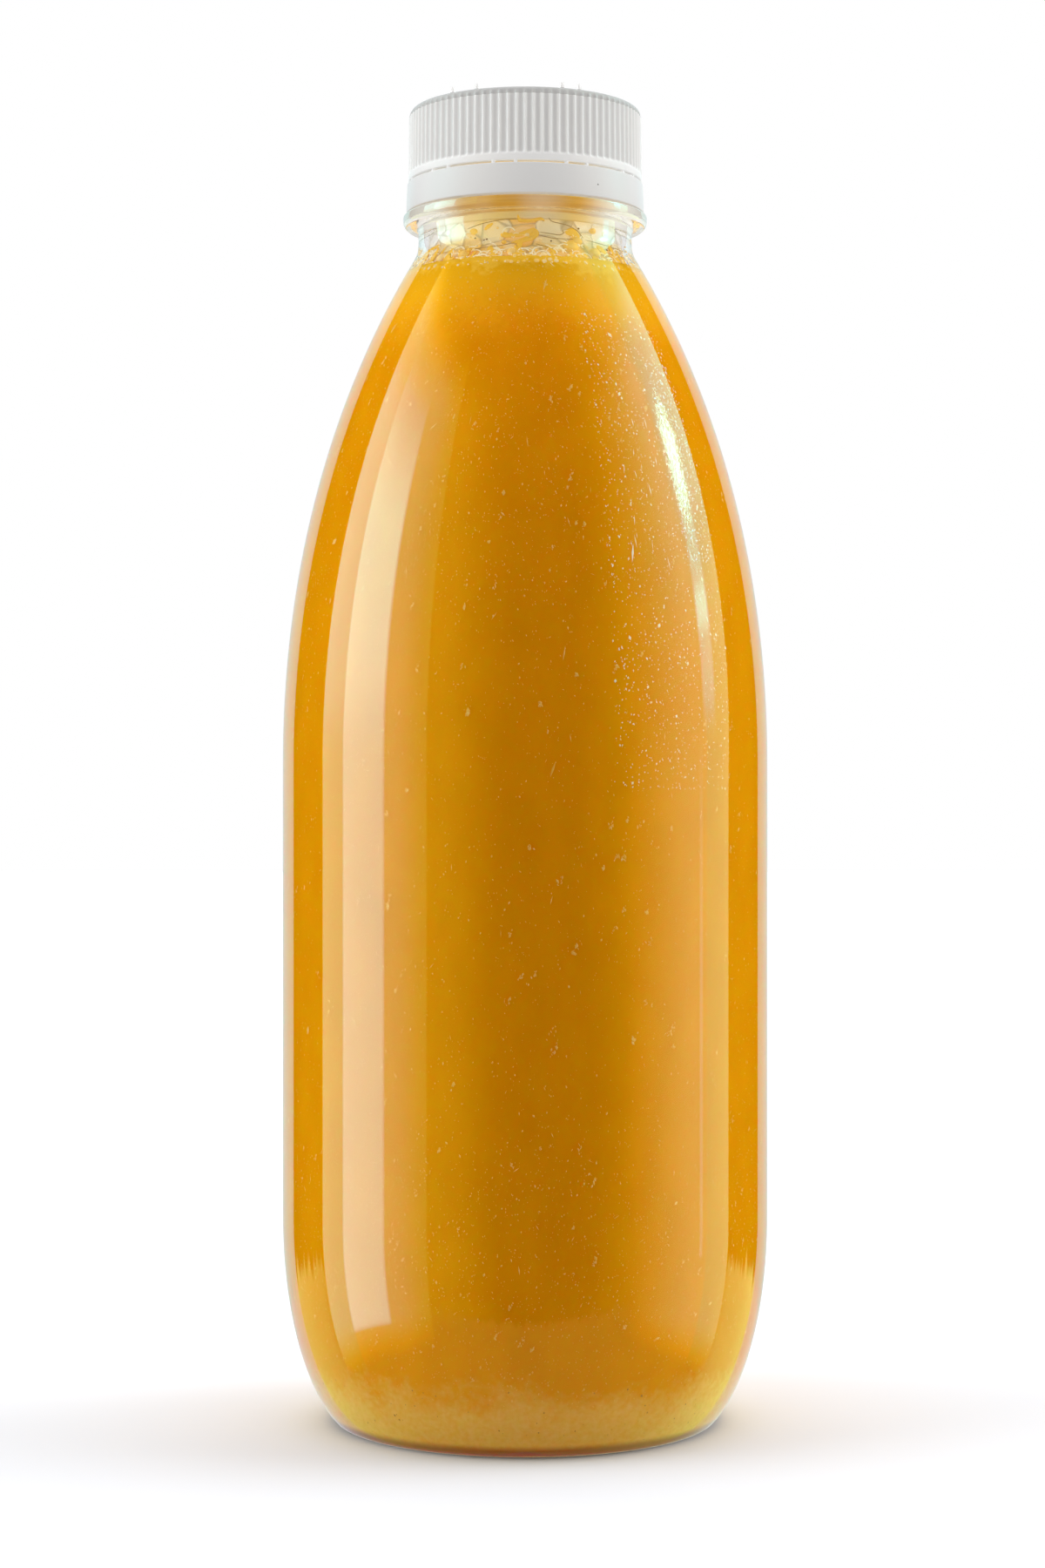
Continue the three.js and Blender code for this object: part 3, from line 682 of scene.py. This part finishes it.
BRIDGE_RADIUS, BRIDGE_SUNK, BRIDGE_SHAPE = 20 * MM, 0.15 * MM, (0.3 * MM, 0.38 * MM, 0.9)
NIB_X = np.array([-12.4, -8.2, 6.3, 9.2]) * MM
NIB_RADIUS, NIB_RISE, NIB_SUNK, NIB_SHAPE = 19.1 * MM, 0.95 * MM, 0.3 * MM, (0.38 * MM, 0.38 * MM, 0.85)
DIRT_X, DIRT_RADIUS, DIRT_FOOT, DIRT_TOP = 12.4 * MM, 20.72 * MM, 212.85 * MM, 213.1 * MM
DIRT_SHAPE = (0.14 * MM, 0.08 * MM, 0.7)
# The grooves between the ribs are painted darker than the ridges, as painted shade.
GROOVE_SHADED_WHITE, GROOVE_PAINTED_SHADE, INSIDE_WHITE, BAND_WHITE = 0.6, 0.2, 0.75, 0.68
BRIDGE_WHITE, NIB_WHITE, DIRT_DARK = 0.8, 0.9, 0.12
# The rounded rim is painted grey as a painted dark reflection.
RIM_PAINTED_REFLECTION, RIM_DEPTH = (0.49, 0.49, 0.49), 0.6 * MM

lip_radius = SKIRT_RADIUS + SKIRT_LIP
skirt_line = np.vstack([
    rounded([(SKIRT_BORE, SKIRT_FOOT), (lip_radius, SKIRT_FOOT), (lip_radius, RIB_FOOT - 0.5 * MM)],
            0.15 * MM, 4),
    np.stack([np.full(9, lip_radius), np.linspace(RIB_FOOT - 0.4 * MM, RIB_FOOT + 0.4 * MM, 9)], axis=1),
    np.stack([np.linspace(lip_radius - 0.02 * MM, SKIRT_RADIUS, 12),
              np.linspace(RIB_FOOT + 0.8 * MM, RIB_TOP - 0.3 * MM, 12)], axis=1),
    bezier([(SKIRT_RADIUS, RIB_TOP), (SKIRT_RADIUS - 0.02 * MM, CAP_TOP - 0.75 * MM),
            (SKIRT_RADIUS - 0.4 * MM, CAP_TOP), (SKIRT_RADIUS - 1.15 * MM, CAP_TOP)], 14),
    [(12 * MM, CAP_TOP), (0, CAP_TOP)],
])
columns = RIB_COUNT * RIB_COLUMNS
skirt = turned(skirt_line, columns)
turn = np.arange(columns) * (2 * np.pi / columns)
ridge = (0.5 + 0.5 * np.cos(RIB_COUNT * turn)) ** RIB_SHARPNESS
low = np.clip((skirt_line[:, 1] - (RIB_FOOT - 0.35 * MM)) / (0.5 * MM), 0, 1)
high = np.clip((CAP_TOP - 0.35 * MM - skirt_line[:, 1]) / (1.0 * MM), 0, 1)
ribbed = (low * high)[:, None]
depth = RIB_DEPTH * ribbed * (1 - ridge)
skirt[:, :, 0] -= depth * np.cos(turn)
skirt[:, :, 1] -= depth * np.sin(turn)
inner_line = rounded([(0, CAP_INNER_TOP), (SEAL_BORE, CAP_INNER_TOP), (SEAL_BORE, SEAL_FOOT),
                      (SEAL_RADIUS, SEAL_FOOT), (SEAL_RADIUS, CAP_INNER_TOP), (SKIRT_BORE, CAP_INNER_TOP),
                      (SKIRT_BORE, SKIRT_FOOT)], 0.3 * MM, 3)
# Painted shade: the ribs' grooves are a darker white than their ridges and the plain parts.
white_and_groove_shade = GROOVE_SHADED_WHITE + GROOVE_PAINTED_SHADE * np.clip(ridge + 1 - ribbed, 0, 1)
white_and_groove_shade = np.vstack([np.full((len(inner_line), columns), INSIDE_WHITE), white_and_groove_shade[1:]])
cap = skin("cap_skirt", [np.vstack([turned(inner_line, columns), skirt[1:]])],
           np.repeat(white_and_groove_shade.reshape(-1, 1), 3, axis=1))
band_line = rounded([(CATCH_RADIUS + 0.65 * MM, BAND_FOOT), (BAND_RADIUS, BAND_FOOT),
                     (BAND_RADIUS - BAND_LEAN, BAND_TOP), (BAND_BORE, BAND_TOP), (BAND_BORE, CATCH_TOP),
                     (CATCH_RADIUS, CATCH_TOP - 0.4 * MM), (CATCH_RADIUS + 0.3 * MM, BAND_FOOT),
                     (CATCH_RADIUS + 0.65 * MM, BAND_FOOT)], 0.25 * MM)
grids = [turned(band_line, SIDES)]
band = skin("tamper_band", grids, per_point(grids, [BAND_WHITE]))


def posts(angles, radius, foot, top, half_width, half_depth, taper):
    """Small upright posts on a circle: six-row grids of twelve columns, each a rounded box section that
    narrows to taper at its top and closes at both ends."""
    turn = np.arange(12) * (np.pi / 6)
    squarish = np.stack([np.sign(np.cos(turn)) * np.abs(np.cos(turn)) ** 0.5 * half_depth,
                         np.sign(np.sin(turn)) * np.abs(np.sin(turn)) ** 0.5 * half_width], axis=1)
    size = np.array([0, 1, 1, (1 + taper) / 2, taper, 0])
    rise = foot + (top - foot) * np.array([0, 0, 0.3, 0.7, 0.97, 1])
    post = np.stack([radius + size[:, None] * squarish[:, 0], size[:, None] * squarish[:, 1],
                     rise[:, None] + 0 * turn], axis=2)
    return [swung(post, angle) for angle in angles]


grids = posts(BRIDGE_ANGLES, BRIDGE_RADIUS, BAND_TOP - BRIDGE_SUNK, SKIRT_FOOT + BRIDGE_SUNK, *BRIDGE_SHAPE)
bridges = skin("band_bridges", grids, per_point(grids, [BRIDGE_WHITE] * len(grids)))
nib_angles = np.arcsin(NIB_X / (NIB_RADIUS + 0.1 * MM)) + FRONT
grids = posts(nib_angles, NIB_RADIUS, CAP_TOP - NIB_SUNK, CAP_TOP + NIB_RISE, *NIB_SHAPE)
nibs = skin("rim_nibs", grids, per_point(grids, [NIB_WHITE] * len(grids)))
dirt_angle = np.arcsin(DIRT_X / (DIRT_RADIUS + 0.03 * MM)) + FRONT
grids = posts([dirt_angle], DIRT_RADIUS, DIRT_FOOT, DIRT_TOP, *DIRT_SHAPE)
dirt = skin("band_speck", grids, per_point(grids, [DIRT_DARK]))

white_plastic, body, node, link = new_material("white_plastic", {
    "Roughness": 0.32, "Specular IOR Level": 0.12})
height = node("ShaderNodeSeparateXYZ")
link(node("ShaderNodeTexCoord").outputs["Object"], height.inputs[0])
attribute = node("ShaderNodeAttribute")
attribute.attribute_name = "tint"
# Painted dark reflection: a grey band round the rounded rim at the top.
on_rim = math("COMPARE", height.outputs["Z"], CAP_TOP - RIM_DEPTH, RIM_DEPTH + 0.04 * MM)
link(blend(on_rim, attribute.outputs["Color"], RIM_PAINTED_REFLECTION), body.inputs["Base Color"])
for piece in (cap, band, bridges, nibs, dirt):
    piece.data.materials.append(white_plastic)
    piece.visible_shadow = False
    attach(piece, "root")
    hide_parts("screw_cap")


# The studio: the camera where the photo was taken from, a pale floor under the bottle, and a weak fill light
# from the camera's side that reaches only the cap and the froth. Light that bounces off the floor finds it
# darker than the eye does, so it throws less light up at the bottle.

EYE = (0, -0.5298, 0.10836)
PHOTO_WIDTH, PHOTO_HEIGHT = 1200, 1800
FOCAL_PIXELS, AXIS_PIXEL, EYE_PIXEL = 3465.0, 603.0, 918.0
SENSOR = 36
FLOOR_HALF = 4
FLOOR_SEEN, FLOOR_BOUNCED = (0.795, 0.83, 0.88), (0.35, 0.35, 0.35)
FILL_PLACE, FILL_TILT, FILL_SIZE = (0.05, -0.75, 0.12), np.radians(96), (0.9, 0.25)
FILL_POWER, FILL_COLOUR = 2.3, (1, 0.97, 0.93)

camera_data = bpy.data.cameras.new("camera")
camera = bpy.data.objects.new("camera", camera_data)
bpy.context.scene.collection.objects.link(camera)
camera.location = EYE
camera.rotation_euler = (np.pi / 2, 0, 0)
camera_data.sensor_fit = "HORIZONTAL"
camera_data.sensor_width = SENSOR
camera_data.lens = FOCAL_PIXELS / PHOTO_WIDTH * SENSOR
camera_data.shift_x = (PHOTO_WIDTH / 2 - AXIS_PIXEL) / PHOTO_WIDTH
camera_data.shift_y = (EYE_PIXEL - PHOTO_HEIGHT / 2) / PHOTO_WIDTH
camera_data.clip_start = 0.01
bpy.context.scene.camera = camera

corners = FLOOR_HALF * np.array([(-1, -1, 0), (1, -1, 0), (1, 1, 0), (-1, 1, 0)])
floor = new_piece("floor", corners, [(0, 1, 2, 3)])
floor.visible_glossy = False
floor.visible_shadow = False
pale_floor, body, node, link = new_material("pale_floor", {"Roughness": 0.9, "Specular IOR Level": 0})
bounced = node("ShaderNodeLightPath").outputs["Is Diffuse Ray"]
link(blend(bounced, FLOOR_SEEN, FLOOR_BOUNCED), body.inputs["Base Color"])
floor.data.materials.append(pale_floor)

fill_data = bpy.data.lights.new("front_fill", "AREA")
fill_data.shape = "RECTANGLE"
fill_data.size, fill_data.size_y = FILL_SIZE
fill_data.energy = FILL_POWER
fill_data.color = FILL_COLOUR
fill = bpy.data.objects.new("front_fill", fill_data)
bpy.context.scene.collection.objects.link(fill)
fill.location = FILL_PLACE
fill.rotation_euler = (FILL_TILT, 0, 0)
lit = bpy.data.collections.new("lit_by_front_fill")
for piece in (cap, band, bridges, nibs, froth, marks, film, bubbles):
    lit.objects.link(piece)
fill.light_linking.receiver_collection = lit


# The soft light round the bottle. Little of it comes from the camera's side, most from both sides, less from
# behind the bottle, and an even amount from the ceiling and from the ground.

# From here on, angles are in degrees, turned left or right from behind the camera, and up from level. A ramp
# gives where it starts and ends and then, where they aren't 0 and 1, the values there.
TO_DEGREES = 180 / np.pi
LIGHT_TURN = 8
SIDES_BEGIN, SIDES_END = (55, 79, 0.03, 3.15), (95, 125, 1, 0.35)
MORE_ON_RIGHT, LESS_HIGH_UP = (0, 90, 1, 1.18), (25, 60, 1, 0.75)
CEILING, CEILING_LIGHT = (0.8, 0.95), 2.3
GROUND, GROUND_LIGHT = (-0.6, -0.8), 1.35

world = bpy.data.worlds.new("studio")
bpy.context.scene.world = world
world.use_nodes = True
world.node_tree.nodes.clear()
node, link = world.node_tree.nodes.new, world.node_tree.links.new


def taken_together(operation, values):
    """The values joined one after the other by one kind of arithmetic."""
    result = values[0]
    for value in values[1:]:
        result = math(operation, result, value)
    return result


def total(*values):
    """The sum of several numbers and sockets."""
    return taken_together("ADD", values)


def product(*values):
    """The product of several numbers and sockets."""
    return taken_together("MULTIPLY", values)


def eases(value, ramps):
    """One smooth step of the same value for each ramp."""
    return [ease(value, *ramp) for ramp in ramps]


directions = node("ShaderNodeTexCoord").outputs["Generated"]
parts = node("ShaderNodeSeparateXYZ")
link(directions, parts.inputs[0])
across, deep, up = parts.outputs
left = product(math("ARCTAN2", product(across, -1), product(deep, -1)), TO_DEGREES)
right = product(left, -1)
wide = math("ABSOLUTE", left)
slope = product(math("ARCSINE", up), TO_DEGREES)

off_middle = math("ABSOLUTE", total(left, LIGHT_TURN))
soft = product(ease(off_middle, *SIDES_BEGIN), ease(off_middle, *SIDES_END), ease(right, *MORE_ON_RIGHT),
               ease(slope, *LESS_HIGH_UP))
soft = blend(ease(up, *CEILING), soft, CEILING_LIGHT, "FLOAT")
soft = blend(ease(up, *GROUND), soft, GROUND_LIGHT, "FLOAT")


# The tall bright panel that the wall mirrors on the left. From its near edge outwards it has a haze that
# grows, a step, a sheen, the bright core, and an outer band that is brighter high up.

LEFT_STEPS = ((8, 40, 0, 0.95), (45.8, 46.8, 0, 0.85), (48, 66, 0, 0.5))
CORE_ACROSS, CORE_UP = (68, 70.5, 0, 3.0), ((-2, 12, 1, 1.65), (-23.5, -22), (42, 22))
BAND_ACROSS, BAND_UP = (93.9, 94.7), ((-2, 12, 2.65, 3.6), (29, 39, 0, -1.1))
LEFT_END, LEFT_UP = (110.3, 109.3), ((-34, -20), (52, 40))

core = product(ease(left, *CORE_ACROSS), *eases(slope, CORE_UP))
left_panel = total(*eases(left, LEFT_STEPS), core)
left_panel = blend(ease(left, *BAND_ACROSS), left_panel, total(*eases(slope, BAND_UP)), "FLOAT")
left_panel = product(left_panel, ease(left, *LEFT_END), *eases(slope, LEFT_UP))


# The dimmer panel that the wall mirrors on the right, with a narrow leaning streak, a lamp and its halo, and
# the thin bright edge of a frame low down. Scuffs of the wall break the edges of the streak and the lamp.

RIGHT_STEPS = ((22, 88, 0, 2.2), (92, 95, 0, 0.15))
RIGHT_MIDDLE, RIGHT_MIDDLE_UP = (62, 96), (4, 26, 0, 0.65)
RIGHT_HIGH, RIGHT_HIGH_UP = (90, 96), ((19, 25), (38, 31, 0, 0.6))
RIGHT_FADE, RIGHT_LEAN, RIGHT_END, RIGHT_FOOT = (38, 48, 1, 0.62), 0.25, (111, 110), (-34, -20)
SCUFF_SCALE = (45, 45, 420)
STREAK_LEAN, STREAK_ACROSS, STREAK_TOP = 0.1, ((90.6, 93), (101.4, 98.8)), (33, 30)
STREAK_BODY, STREAK_KNOT = (2, 8, 0, 1.4), ((10.5, 13, 0, 3.6), (16.5, 14))
STREAK_SCUFFED, SCUFF_SHOWS = (14, 18, 0, 1.3), (0.38, 0.6)
LAMP_TURN, LAMP_RISE, LAMP_WIDTH, LAMP_HEIGHT = 99.3, 27.2, 5.3, 4.8
LAMP_RAGGED, LAMP_HOT, LAMP_HALO = (0.3, 0.7, 1.2, -1.2), (1.1, 0.5, 0, 9), (3.6, 0.6, 0, 0.7)
FRAME_ACROSS, FRAME_UP = ((88.8, 89.6), (91.6, 90.8)), ((-11.5, -10.5), (4, -4, 0, 0.7))

scuff = cloud(directions, scale=1, detail=1, stretch=SCUFF_SCALE)
off_streak = math("SUBTRACT", right, product(slope, STREAK_LEAN))
streak_light = total(ease(slope, *STREAK_BODY), product(*eases(slope, STREAK_KNOT)),
                     product(ease(slope, *STREAK_SCUFFED), ease(scuff, *SCUFF_SHOWS)))
streak = product(*eases(off_streak, STREAK_ACROSS), ease(slope, *STREAK_TOP), streak_light)
lamp_across = math("DIVIDE", math("SUBTRACT", right, LAMP_TURN), LAMP_WIDTH)
lamp_up = math("DIVIDE", math("SUBTRACT", slope, LAMP_RISE), LAMP_HEIGHT)
off_lamp = total(product(lamp_across, lamp_across), product(lamp_up, lamp_up), ease(scuff, *LAMP_RAGGED))
hot = ease(off_lamp, *LAMP_HOT)
lamp = total(hot, ease(off_lamp, *LAMP_HALO))
frame_edge = product(*eases(right, FRAME_ACROSS), *eases(slope, FRAME_UP))
right_panel = total(*eases(right, RIGHT_STEPS),
                    product(ease(right, *RIGHT_MIDDLE), ease(slope, *RIGHT_MIDDLE_UP)),
                    product(ease(right, *RIGHT_HIGH), *eases(slope, RIGHT_HIGH_UP)))
right_panel = total(product(right_panel, ease(slope, *RIGHT_FADE)), streak, lamp, frame_edge)
right_edge = math("SUBTRACT", right, product(math("MAXIMUM", slope, 0), RIGHT_LEAN))
right_panel = product(right_panel, ease(right_edge, *RIGHT_END), ease(slope, *RIGHT_FOOT))
panel = total(left_panel, right_panel)


# What else the wall mirrors: the floor by the bottle, tinted by it, the greenish floor farther off, and the
# white background at grazing angles. The floor's far edge is uneven and rises from front to back.

NEAR_FLOOR, FAR_FLOOR = (0.9, 0.55, 0.1), (0.5, 1.1, 0.45)
FLOOR_EDGE, FLOOR_EDGE_UNEVEN, FLOOR_EDGE_SCALE, FLOOR_STARTS = (0, 115, -24.4, -11.5), 5.0, 0.35, (0.8, -1.2)
NEAR_ACROSS, NEAR_UP = (30, 100, 1.0, 0.7), (-75, -45, 0.3, 1)
FAR_ACROSS, FAR_UP, FAR_RIGHT = ((102, 116), (141, 148, 1, 0.45)), (-50, -20, 0.4, 1), (100, 110, 0.68, 1)
WHITE_LEFT, WHITE_RIGHT, WHITE_UP = (141, 142.3), (142.5, 144), (-45, -15, 0.4, 1)
WHITE_ACROSS = (141, 172)
NEAR_RIM, AT_RIM = ((140.5, 141), (172, 145)), (168, 178)
WHITE_TINTS = ((0.5, 0.62, 0, 0.16), (0.87, 0.8, 0.1, -0.06), (0.9, 0.85, 0.1, -0.15))

uneven = node("ShaderNodeTexNoise")
uneven.noise_dimensions = "1D"
uneven.inputs["Scale"].default_value = FLOOR_EDGE_SCALE
uneven.inputs["Detail"].default_value = 1
link(left, uneven.inputs["W"])
past_edge = math("SUBTRACT", slope, ease(wide, *FLOOR_EDGE))
past_edge = total(past_edge, product(math("SUBTRACT", uneven.outputs["Fac"], 0.5), FLOOR_EDGE_UNEVEN))
on_floor = ease(past_edge, *FLOOR_STARTS)
near_floor = product(on_floor, ease(wide, *NEAR_ACROSS), ease(slope, *NEAR_UP))
far_floor = product(on_floor, *eases(wide, FAR_ACROSS), ease(slope, *FAR_UP), ease(right, *FAR_RIGHT))
white = product(math("MAXIMUM", ease(left, *WHITE_LEFT), ease(right, *WHITE_RIGHT)), ease(slope, *WHITE_UP))
near_rim = product(*eases(left, NEAR_RIM))
at_rim = ease(wide, *AT_RIM)


# The colours of all that is mirrored. A panel's strength is its green. Its red levels off and its blue comes
# in only where it is bright, so that it looks pale amber over the drink and nearly white by the lamp. Only a
# ray that hasn't met a matt surface yet sees the panels, and the others see the soft light.

RED_SHARE, RED_SOFT, RED_MOST, RED_BRIGHT, BRIGHT_FROM = 0.25, 1.15, 1.15, 0.15, 3
RED_BAND_ACROSS, RED_BAND_UP = ((40, 62, 0, 0.9), (94.5, 93.5)), (26, 8)
RED_RIGHT, RED_RIGHT_UP, RED_HOT = (86, 96), (6, 22, 0.9, 0.3), 0.35
BLUE_MOST, BLUE_ACROSS = 0.9, (44, 60, 0.04, 0.09)

red = total(product(panel, RED_SHARE), math("MINIMUM", product(panel, RED_SOFT), RED_MOST),
            math("MAXIMUM", product(math("SUBTRACT", panel, BRIGHT_FROM), RED_BRIGHT), 0),
            product(*eases(wide, RED_BAND_ACROSS), ease(slope, *RED_BAND_UP), math("MINIMUM", panel, 1.0)))
red = product(red, blend(ease(right, *RED_RIGHT), 1, ease(slope, *RED_RIGHT_UP), "FLOAT"))
red = total(red, product(hot, RED_HOT))
blue = math("MINIMUM", product(panel, BLUE_MOST), product(panel, panel, panel, ease(wide, *BLUE_ACROSS)))
colour = node("ShaderNodeCombineColor")
for socket, channel, tint, near_share, far_share in zip(
        colour.inputs, (red, panel, blue), WHITE_TINTS, NEAR_FLOOR, FAR_FLOOR):
    first, last, near_rim_share, at_rim_share = tint
    rim_light = total(ease(wide, *WHITE_ACROSS, first, last), product(near_rim, near_rim_share),
                      product(at_rim, at_rim_share))
    lit_floor = total(product(near_floor, near_share), product(far_floor, far_share))
    link(math("MAXIMUM", math("MAXIMUM", channel, product(white, rim_light)), lit_floor), socket)

# What each ray gets: the white background where it is seen, the panels where mirrored, else the soft light.
ray = node("ShaderNodeLightPath")
fresh = math("LESS_THAN", ray.outputs["Diffuse Depth"], 0.5)
seen = math("MAXIMUM", ray.outputs["Is Camera Ray"], product(ray.outputs["Is Transmission Ray"], fresh))
mirrored_once = product(ray.outputs["Is Glossy Ray"], fresh)
light, mirrored, backdrop = (node("ShaderNodeBackground") for _ in range(3))
link(soft, light.inputs["Color"])
link(colour.outputs[0], mirrored.inputs["Color"])
backdrop.inputs["Color"].default_value = (1, 1, 1, 1)
surface = mixed(mirrored_once, light.outputs[0], mirrored.outputs[0])
surface = mixed(seen, surface, backdrop.outputs[0])
link(surface, node("ShaderNodeOutputWorld").inputs["Surface"])

bpy.context.scene.view_settings.view_transform = "Standard"
